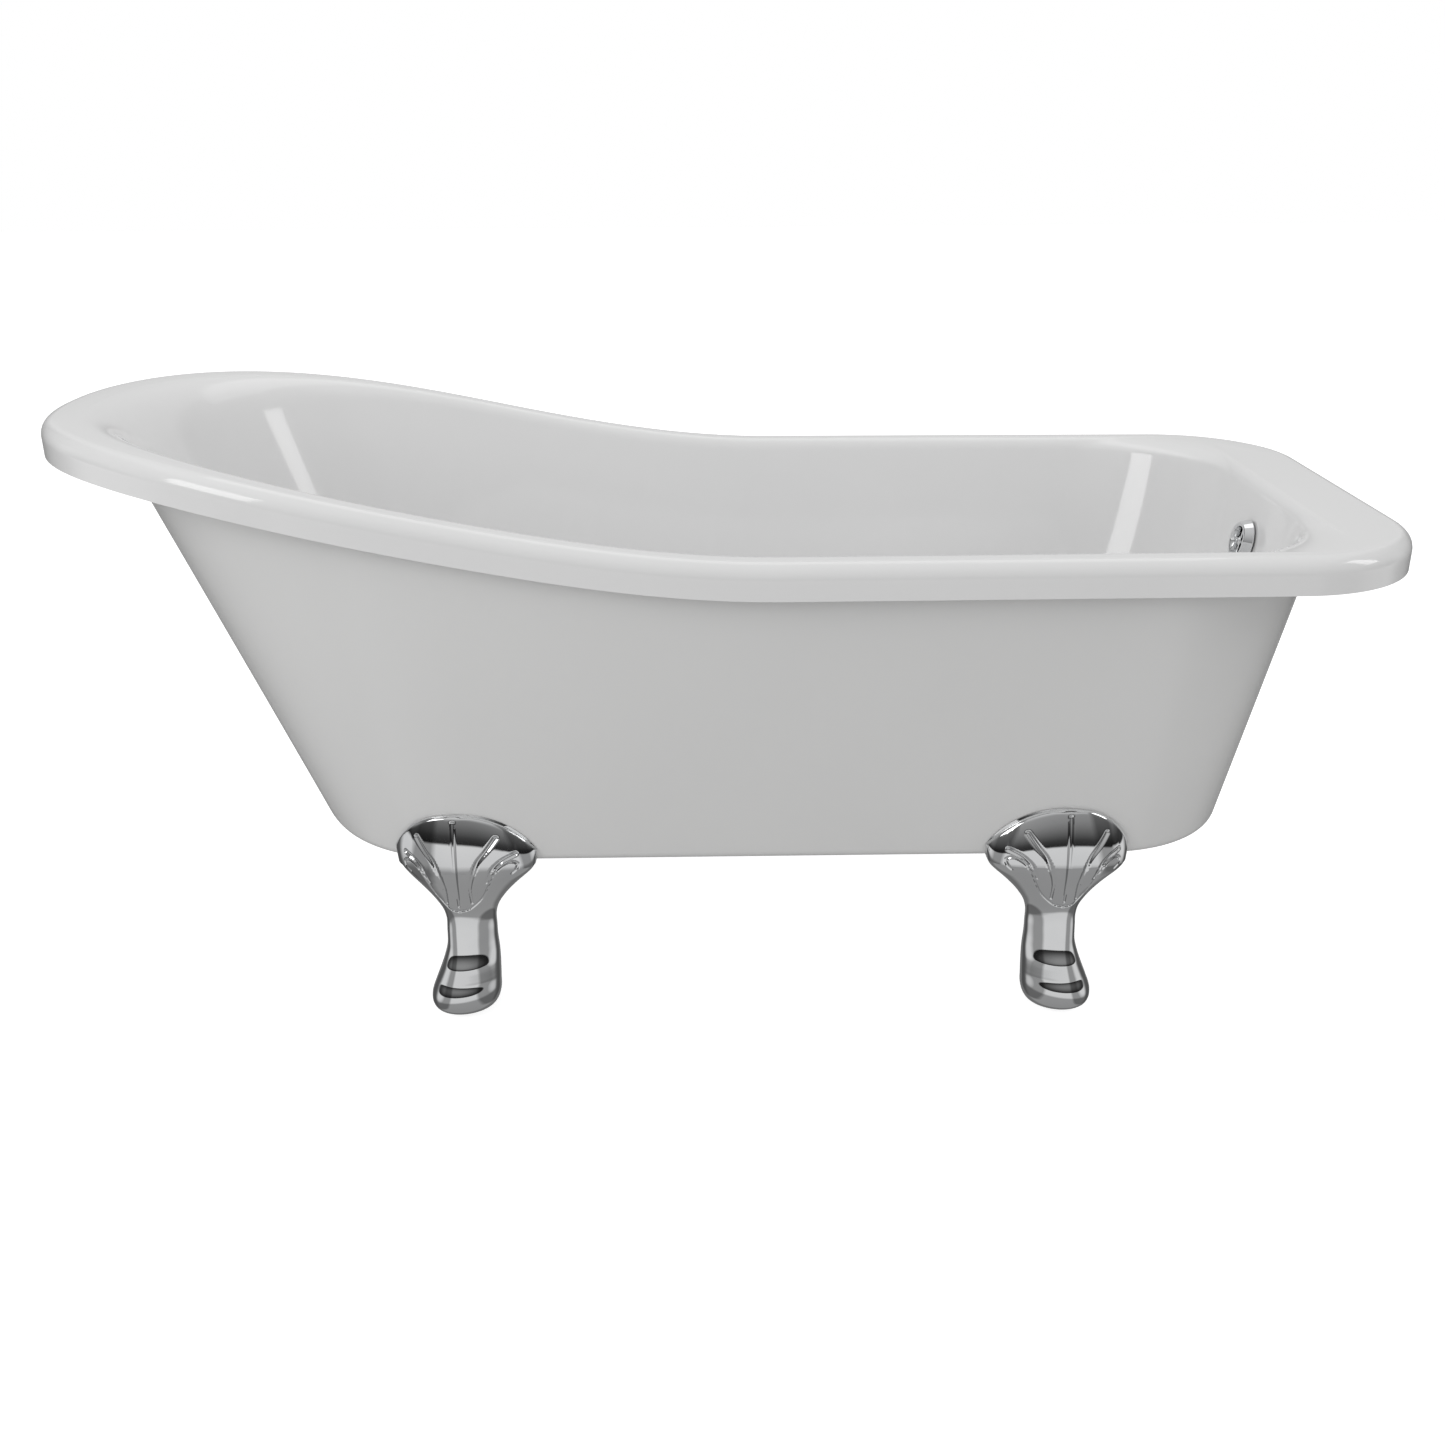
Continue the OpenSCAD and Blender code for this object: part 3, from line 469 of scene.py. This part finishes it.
def foot_rings(x0, y0, out):
    """Rings of a near foot, and each point's sideways place before the foot's front is turned out."""
    share = np.linspace(0, 1, FRONT_STEPS + 1)
    front = math.pi * (share - 0.09 * np.sin(2 * math.pi * share))
    step = FRONT_STEPS // BACK_STEPS
    a = np.concatenate([front, 2 * math.pi - front[-1 - step : 0 : -step]])
    up, across = np.sin(a), -np.cos(a)
    is_front = up > 1e-6
    turn = out * TURN_OUT * np.clip(up, 0, None) ** 2
    bottom = np.full(len(a), SKIN_BOTTOM_Z)
    wall = wall_hw(np.array([x0]), bottom[:1])[0]
    leg_heights = np.arange(14, 150, LEG_STEP)
    root_heights = np.linspace(150, SKIN_BOTTOM_Z / MM, ROOT_RINGS)
    low_z = np.concatenate([SOLE_HEIGHTS, leg_heights, root_heights]) * MM
    rings, places = [], []
    for z in low_z:
        hw, mid, back = smooth(SECTIONS, np.array([z]))[0]
        reach = smooth(FRONT, np.array([z]))[0, 0]
        low = 1 - min(z / TOE_H, 1)
        follow = np.clip((z - FOLLOW_Z) / FOLLOW_H, 0, 1)
        u = hw * across
        x = x0 + out * TOE_KICK * low * low * (3 - 2 * low) + u + turn * (1 - (1 - TOE_SHARE) * low)
        d = np.where(
            is_front,
            mid + (reach - mid) * np.clip(up, 0, None) ** (1 - 0.3 * follow),
            mid + (mid - back) * up,
        )
        y = y0 + d + (wall_hw(x, bottom) - wall) * follow
        rings.append(np.stack([x, -y, np.full(len(a), z)], 1))
        places.append(u)
    root_hw = SECTIONS[-1, 1]
    full = y0 + FRONT[-1, 1] - wall - SHELL_GAP - SHELL_EDGE
    edge = np.array([3.4, 2.6, 1.8, 1.1, 0.6, 0.25, 0.06, 0]) * MM
    shares = np.concatenate([np.linspace(0, 1, 50)[:-3], 1 - edge / (SHELL_TOP_Z - SKIN_BOTTOM_Z)])
    for t in shares:
        u = (root_hw + (SHELL_HW - root_hw) * t) * across
        x = x0 + u + turn
        tall = SHELL_TOP_Z - SHELL_ARC_R + np.sqrt(SHELL_ARC_R**2 - u * u) - SKIN_BOTTOM_Z
        z = SKIN_BOTTOM_Z + tall * t
        bulge = SHELL_EDGE + full * (1 - t) * (1 + 0.55 * t)
        close = 1 - np.clip((1 - t) * tall / EDGE_R, 0, 1)
        bulge = bulge * (0.3 + 0.7 * np.sqrt(1 - close**2))
        outer = wall_hw(x, z) + SHELL_GAP + bulge * np.clip(up, 0, None) ** 0.7
        inner = skin_hw(x, z) + SHELL_GAP
        y = np.where(is_front, np.maximum(outer, inner), inner)
        rings.append(np.stack([x, -y, z], 1))
        places.append(u)
    return np.array(rings), np.array(places)


def carving(u, z):
    """How far the front of a foot stands out or in at sideways place u and height z."""
    best = np.zeros_like(z)
    lines = [(mirrored * [side, 1], FLUTE_TOP, FLUTE_TIP) for mirrored in FLUTES for side in (1, -1)][1:]
    lines += [(PANEL * [side, 1], PANEL_GROOVE, PANEL_GROOVE) for side in (1, -1)]
    for line, first, last in lines:
        points, share = along(line, 40)
        for k in range(len(points) - 1):
            p, q = points[k], points[k + 1]
            way = q - p
            s = np.clip(((u - p[0]) * way[0] + (z - p[1]) * way[1]) / (way @ way), 0, 1)
            far = np.hypot(u - p[0] - s * way[0], z - p[1] - s * way[1])
            part = share[k] + (share[k + 1] - share[k]) * s
            width = first[0] + (last[0] - first[0]) * part
            depth = first[1] + (last[1] - first[1]) * part
            best = np.maximum(best, depth * np.clip(1 - (far / width) ** 3, 0, 1))
    line, _ = along(PANEL[:8], 60)
    edge_z = np.interp(np.abs(u), line[:, 0], line[:, 1])
    inside = np.clip((z - edge_z) / (0.4 * MM) + 0.5, 0, 1) * np.clip((0.070 - np.abs(u)) / 0.012, 0, 1)
    top_fade = np.clip((SHELL_TOP_Z - 0.002 - z) / 0.002, 0, 1)
    return (PANEL_RAISE * inside - best) * top_fade


def make_foot(name, x0, y0, out, far):
    rings, places = foot_rings(x0, y0, out)
    rows, n = len(rings), len(rings[0])
    front = rings[:, : FRONT_STEPS + 1]
    normal = np.cross(np.gradient(front, axis=1), np.gradient(front, axis=0))
    normal /= np.maximum(np.linalg.norm(normal, axis=2), 1e-12)[..., None]
    share = np.sin(np.linspace(0, math.pi, FRONT_STEPS + 1)) > 0.02
    shift = carving(places[:, : FRONT_STEPS + 1], front[..., 2]) * share
    rings[:, : FRONT_STEPS + 1] = front + normal * shift[..., None]
    faces = band_faces(rows, n)
    step = FRONT_STEPS // BACK_STEPS
    top = (rows - 1) * n
    for j in range(BACK_STEPS):
        back = [(FRONT_STEPS + (BACK_STEPS - j)) % n if j else 0, FRONT_STEPS + BACK_STEPS - j - 1]
        cap = [j * step + k for k in range(step + 1)] + [b for b in back[::-1] if b not in (0, FRONT_STEPS)]
        faces.append(tuple(top + c for c in cap))
    faces.append(tuple(range(n))[::-1])
    points = np.concatenate(rings)
    if far:
        points = points * [1, -1, 1]
        faces = [face[::-1] for face in faces]
    made = mesh_object("chrome_" + name, points, faces, FOOT_SHARP)
    side = 1 if far else -1
    seats = [
        turned_solid(
            f"seat_{k}",
            [(SEAT_R, -0.001), (SEAT_R, BOLT_SEAT_Z), (BOLT_R, BOLT_SEAT_Z), (BOLT_R, 0.300)],
            Matrix.Translation((x0 + k * BOLT_DX, side * BOLT_Y, 0)),
            48,
        )
        for k in (-1, 1)
    ]
    cut(made, seats, FOOT_SHARP)
    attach(made, "bath")
    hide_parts(name)
    return made


feet = [
    make_foot("foot_head_near", HEAD_FOOT_X, HEAD_FOOT_Y, -1, False),
    make_foot("foot_head_far", HEAD_FOOT_X, HEAD_FOOT_Y, -1, True),
    make_foot("foot_tap_near", TAP_FOOT_X, TAP_FOOT_Y, 1, False),
    make_foot("foot_tap_far", TAP_FOOT_X, TAP_FOOT_Y, 1, True),
]

# ---------------------------------------------------------------- materials


class Nodes:
    """Builds a material's node tree in few words."""

    def __init__(self, name):
        self.material = bpy.data.materials.new(name)
        self.material.use_nodes = True
        self.tree = self.material.node_tree
        self.shader = self.tree.nodes["Principled BSDF"]

    def add(self, kind, **values):
        node = self.tree.nodes.new(kind)
        for key, value in values.items():
            if key in node.inputs:
                node.inputs[key].default_value = value
            else:
                setattr(node, key, value)
        return node

    def link(self, a, b):
        self.tree.links.new(a, b)

    def set(self, **values):
        for key, value in values.items():
            self.shader.inputs[key.replace("_", " ")].default_value = value

    def coords(self, scale=(1, 1, 1)):
        place = self.add("ShaderNodeTexCoord")
        mapping = self.add("ShaderNodeMapping")
        mapping.inputs["Scale"].default_value = scale
        self.link(place.outputs["Object"], mapping.inputs["Vector"])
        return mapping.outputs["Vector"]

    def noise(self, where, scale, detail=3, rough=0.5, distortion=0):
        node = self.add("ShaderNodeTexNoise")
        node.inputs["Scale"].default_value = scale
        node.inputs["Detail"].default_value = detail
        node.inputs["Roughness"].default_value = rough
        node.inputs["Distortion"].default_value = distortion
        self.link(where, node.inputs["Vector"])
        return node.outputs["Fac"]

    def ramp(self, fac, stops):
        node = self.add("ShaderNodeValToRGB")
        ramp = node.color_ramp
        while len(ramp.elements) < len(stops):
            ramp.elements.new(0.5)
        for element, (at, colour) in zip(ramp.elements, stops):
            element.position = at
            element.color = colour if len(colour) == 4 else (*colour, 1)
        self.link(fac, node.inputs["Fac"])
        return node.outputs["Color"]

    def spread(self, fac, low, high):
        node = self.add("ShaderNodeMapRange")
        node.inputs["To Min"].default_value = low
        node.inputs["To Max"].default_value = high
        self.link(fac, node.inputs["Value"])
        return node.outputs["Result"]

    def bump(self, height, strength, distance, under=None):
        node = self.add("ShaderNodeBump")
        node.inputs["Strength"].default_value = strength
        node.inputs["Distance"].default_value = distance
        self.link(height, node.inputs["Height"])
        if under is not None:
            self.link(under, node.inputs["Normal"])
        return node.outputs["Normal"]


def acrylic(name, tint):
    n = Nodes(name)
    where = n.coords()
    n.link(
        n.ramp(n.noise(where, 3.0, 2), [(0.35, [c * 0.985 for c in tint]), (0.65, tint)]),
        n.shader.inputs["Base Color"],
    )
    n.link(n.spread(n.noise(where, 9.0, 4), 0.07, 0.12), n.shader.inputs["Roughness"])
    slow = n.bump(n.noise(where, 5.0, 1), 0.25, 0.002)
    n.link(n.bump(n.noise(where, 160.0, 3), 0.02, 0.0004, slow), n.shader.inputs["Normal"])
    n.set(IOR=1.49, Coat_Weight=0.3, Coat_Roughness=0.03, Coat_IOR=1.5)
    return n.material


def chrome(name):
    n = Nodes(name)
    where = n.coords()
    n.link(
        n.ramp(n.noise(where, 14.0, 3), [(0.3, (0.77, 0.78, 0.79)), (0.7, (0.83, 0.835, 0.84))]),
        n.shader.inputs["Base Color"],
    )
    n.link(n.spread(n.noise(where, 60.0, 4), 0.025, 0.07), n.shader.inputs["Roughness"])
    n.link(n.bump(n.noise(where, 35.0, 2), 0.05, 0.0006), n.shader.inputs["Normal"])
    n.set(Metallic=1.0)
    return n.material


def satin(name, dark, light, scale, rough, metallic=0.0, strength=0.2, distance=0.0005, stretch=(1, 1, 1)):
    """A plain finish broken up by grain: rubber, plastic, zinc, brass."""
    n = Nodes(name)
    where = n.coords(stretch)
    grain = n.noise(where, scale, 5, 0.6)
    n.link(n.ramp(grain, [(0.3, dark), (0.7, light)]), n.shader.inputs["Base Color"])
    n.link(n.spread(n.noise(where, scale * 0.4, 3), *rough), n.shader.inputs["Roughness"])
    n.link(n.bump(grain, strength, distance), n.shader.inputs["Normal"])
    n.set(Metallic=metallic)
    return n.material


def wood(name, dark, light):
    n = Nodes(name)
    where = n.coords((0.6, 9, 9))
    rings = n.add("ShaderNodeTexWave")
    rings.inputs["Scale"].default_value = 3.0
    rings.inputs["Distortion"].default_value = 7.0
    rings.inputs["Detail"].default_value = 4.0
    rings.inputs["Detail Scale"].default_value = 1.6
    n.link(where, rings.inputs["Vector"])
    pores = n.noise(n.coords((8, 160, 160)), 3.0, 5, 0.7)
    blend = n.add("ShaderNodeMath", operation="ADD")
    half = n.add("ShaderNodeMath", operation="MULTIPLY")
    half.inputs[1].default_value = 0.5
    n.link(rings.outputs["Fac"], blend.inputs[0])
    n.link(pores, blend.inputs[1])
    n.link(blend.outputs[0], half.inputs[0])
    n.link(n.ramp(half.outputs[0], [(0.25, dark), (0.75, light)]), n.shader.inputs["Base Color"])
    n.link(n.spread(pores, 0.6, 0.85), n.shader.inputs["Roughness"])
    n.link(n.bump(half.outputs[0], 0.3, 0.0008), n.shader.inputs["Normal"])
    return n.material


white_acrylic = acrylic("white_acrylic", (0.78, 0.78, 0.78))
skin_acrylic = acrylic("skin_acrylic", (0.78, 0.78, 0.775))
foot_chrome = chrome("foot_chrome")
trim_chrome = chrome("trim_chrome")
rubber = satin("rubber", (0.018, 0.018, 0.018), (0.035, 0.034, 0.033), 220, (0.55, 0.8))
dark_plastic = satin("dark_plastic", (0.05, 0.052, 0.055), (0.08, 0.082, 0.085), 140, (0.35, 0.5))
zinc = satin("zinc_steel", (0.42, 0.43, 0.44), (0.62, 0.63, 0.65), 90, (0.3, 0.5), metallic=1.0)
brass = satin("brass", (0.62, 0.43, 0.17), (0.76, 0.56, 0.26), 70, (0.22, 0.4), metallic=1.0)
plywood = wood("plywood", (0.42, 0.27, 0.13), (0.70, 0.52, 0.31))
timber = wood("timber", (0.40, 0.24, 0.11), (0.62, 0.43, 0.23))

basin.data.materials.clear()
basin.data.materials.append(white_acrylic)
skin.data.materials.append(skin_acrylic)
for made in feet:
    made.data.materials.clear()
    made.data.materials.append(foot_chrome)

NODE_FINISH = {
    "basin": white_acrylic,
    "outer_skin": skin_acrylic,
    "base_board": plywood,
    "deck_board": plywood,
    "head_bearer": timber,
    "tap_bearer": timber,
    "foot_head_near": foot_chrome,
    "foot_head_far": foot_chrome,
    "foot_tap_near": foot_chrome,
    "foot_tap_far": foot_chrome,
    "foot_pads": rubber,
    "foot_bolts": zinc,
    "foot_washers": zinc,
    "foot_tee_nuts": zinc,
    "bearer_screws": brass,
    "overflow_rose": trim_chrome,
    "overflow_washer": rubber,
    "overflow_screw": trim_chrome,
    "overflow_gasket": rubber,
    "overflow_body": dark_plastic,
    "overflow_downpipe": brass,
    "overflow_elbow": dark_plastic,
    "overflow_level_pipe": brass,
    "pipe_nut": brass,
    "waste_flange": trim_chrome,
    "waste_washer": rubber,
    "waste_gasket": rubber,
    "waste_body": brass,
    "plug_cap": trim_chrome,
    "plug_seal": rubber,
    "plug_stem": brass,
}
for node, finish in NODE_FINISH.items():
    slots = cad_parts[node].data.materials
    slots.clear()
    slots.append(finish)

# ---------------------------------------------------------------- floor and light


# Grey of the surroundings against half of one plus the sine of the elevation
TENT = [(0.0, 0.58), (0.5, 0.80), (0.7, 0.76), (1.0, 0.71)]
ROOM = [
    (0.0, 0.30), (0.25, 0.33), (0.29, 0.68), (0.43, 0.72), (0.445, 0.02), (0.49, 0.05), (0.54, 0.13),
    (0.62, 0.26), (0.75, 0.40), (1.0, 0.65),
]
# The room is darker to both sides, against the sideways share of the direction
SIDES = [(0.0, 1.0), (0.52, 1.0), (0.62, 0.45), (0.86, 0.45), (0.95, 1.0), (1.0, 1.0)]
BACKDROP = [(0.0, 0.16), (0.42, 0.22), (0.52, 0.40), (0.58, 0.60), (1.0, 0.64)]


def make_floor():
    far = 14
    corners = [(-far, -far, 0), (far, -far, 0), (far, far, 0), (-far, far, 0)]
    floor = mesh_object("floor", corners, [(0, 1, 2, 3)])
    n = Nodes("floor")
    n.set(Base_Color=(0.58, 0.58, 0.58, 1), Roughness=0.9)
    n.shader.inputs["Specular IOR Level"].default_value = 0.1
    white = n.add("ShaderNodeEmission")
    white.inputs["Color"].default_value = (1, 1, 1, 1)
    white.inputs["Strength"].default_value = 0.80
    seen = n.add("ShaderNodeLightPath")
    shown = n.add("ShaderNodeMixShader")
    both = n.add("ShaderNodeAddShader")
    n.link(n.shader.outputs[0], both.inputs[0])
    n.link(white.outputs[0], both.inputs[1])
    n.link(seen.outputs["Is Camera Ray"], shown.inputs["Fac"])
    n.link(n.shader.outputs[0], shown.inputs[1])
    n.link(both.outputs[0], shown.inputs[2])
    out = n.tree.nodes["Material Output"]
    n.link(shown.outputs[0], out.inputs["Surface"])
    floor.data.materials.append(n.material)
    floor.visible_glossy = False


def grey_ramp(tree, stops):
    ramp = tree.nodes.new("ShaderNodeValToRGB")
    while len(ramp.color_ramp.elements) < len(stops):
        ramp.color_ramp.elements.new(0.5)
    for element, (at, grey) in zip(ramp.color_ramp.elements, stops):
        element.position = at
        element.color = (grey, grey, grey, 1)
    return ramp


def make_world():
    """White behind the bath, an even tent that lights it, and a contrasty room for the chrome."""
    world = bpy.data.worlds.new("studio")
    scene.world = world
    world.use_nodes = True
    tree = world.node_tree
    tree.nodes.clear()
    link = tree.links.new
    out = tree.nodes.new("ShaderNodeOutputWorld")
    place = tree.nodes.new("ShaderNodeTexCoord")
    split = tree.nodes.new("ShaderNodeSeparateXYZ")
    link(place.outputs["Generated"], split.inputs[0])
    half = tree.nodes.new("ShaderNodeMapRange")
    half.inputs["From Min"].default_value = -1
    link(split.outputs["Z"], half.inputs["Value"])
    tent = grey_ramp(tree, TENT)
    room = grey_ramp(tree, ROOM)
    link(half.outputs["Result"], tent.inputs["Fac"])
    link(half.outputs["Result"], room.inputs["Fac"])
    behind = tree.nodes.new("ShaderNodeMapRange")
    behind.inputs["From Min"].default_value = 0.10
    behind.inputs["From Max"].default_value = 0.35
    link(split.outputs["Y"], behind.inputs["Value"])
    around = tree.nodes.new("ShaderNodeMix")
    around.data_type = "RGBA"
    link(behind.outputs["Result"], around.inputs["Factor"])
    link(room.outputs["Color"], around.inputs[6])
    backdrop = grey_ramp(tree, BACKDROP)
    link(half.outputs["Result"], backdrop.inputs["Fac"])
    link(backdrop.outputs["Color"], around.inputs[7])
    sideways = tree.nodes.new("ShaderNodeMath")
    sideways.operation = "ABSOLUTE"
    link(split.outputs["X"], sideways.inputs[0])
    sides = grey_ramp(tree, SIDES)
    link(sideways.outputs["Value"], sides.inputs["Fac"])
    shaded = tree.nodes.new("ShaderNodeMix")
    shaded.data_type = "RGBA"
    shaded.blend_type = "MULTIPLY"
    shaded.inputs["Factor"].default_value = 1
    link(around.outputs[2], shaded.inputs[6])
    link(sides.outputs["Color"], shaded.inputs[7])
    backs = []
    for colour in (tent.outputs["Color"], shaded.outputs[2], None):
        back = tree.nodes.new("ShaderNodeBackground")
        if colour is None:
            back.inputs["Color"].default_value = (1, 1, 1, 1)
        else:
            link(colour, back.inputs["Color"])
        backs.append(back)
    path = tree.nodes.new("ShaderNodeLightPath")
    shiny = tree.nodes.new("ShaderNodeMixShader")
    link(path.outputs["Is Glossy Ray"], shiny.inputs["Fac"])
    link(backs[0].outputs[0], shiny.inputs[1])
    link(backs[1].outputs[0], shiny.inputs[2])
    pick = tree.nodes.new("ShaderNodeMixShader")
    link(path.outputs["Is Camera Ray"], pick.inputs["Fac"])
    link(shiny.outputs[0], pick.inputs[1])
    link(backs[2].outputs[0], pick.inputs[2])
    link(pick.outputs[0], out.inputs["Surface"])


def area_light(name, at, target, size, power):
    data = bpy.data.lights.new(name, "AREA")
    data.shape = "RECTANGLE"
    data.size, data.size_y = size
    data.energy = power
    light = bpy.data.objects.new(name, data)
    scene.collection.objects.link(light)
    light.location = at
    light.rotation_euler = (Vector(target) - Vector(at)).to_track_quat("-Z", "Y").to_euler()
    light.visible_camera = False
    return light


make_floor()
make_world()
area_light("overhead", (0.1, 0.9, 2.7), (0, 0.2, 0.5), (2.6, 1.2), 7)
area_light("left_box", (-2.1, -1.9, 1.9), (-0.2, 0, 0.4), (1.1, 1.4), 17)
area_light("right_box", (2.4, -0.6, 1.7), (0.8, -0.3, 0.6), (0.5, 1.0), 5)

scene.view_settings.view_transform = "Standard"
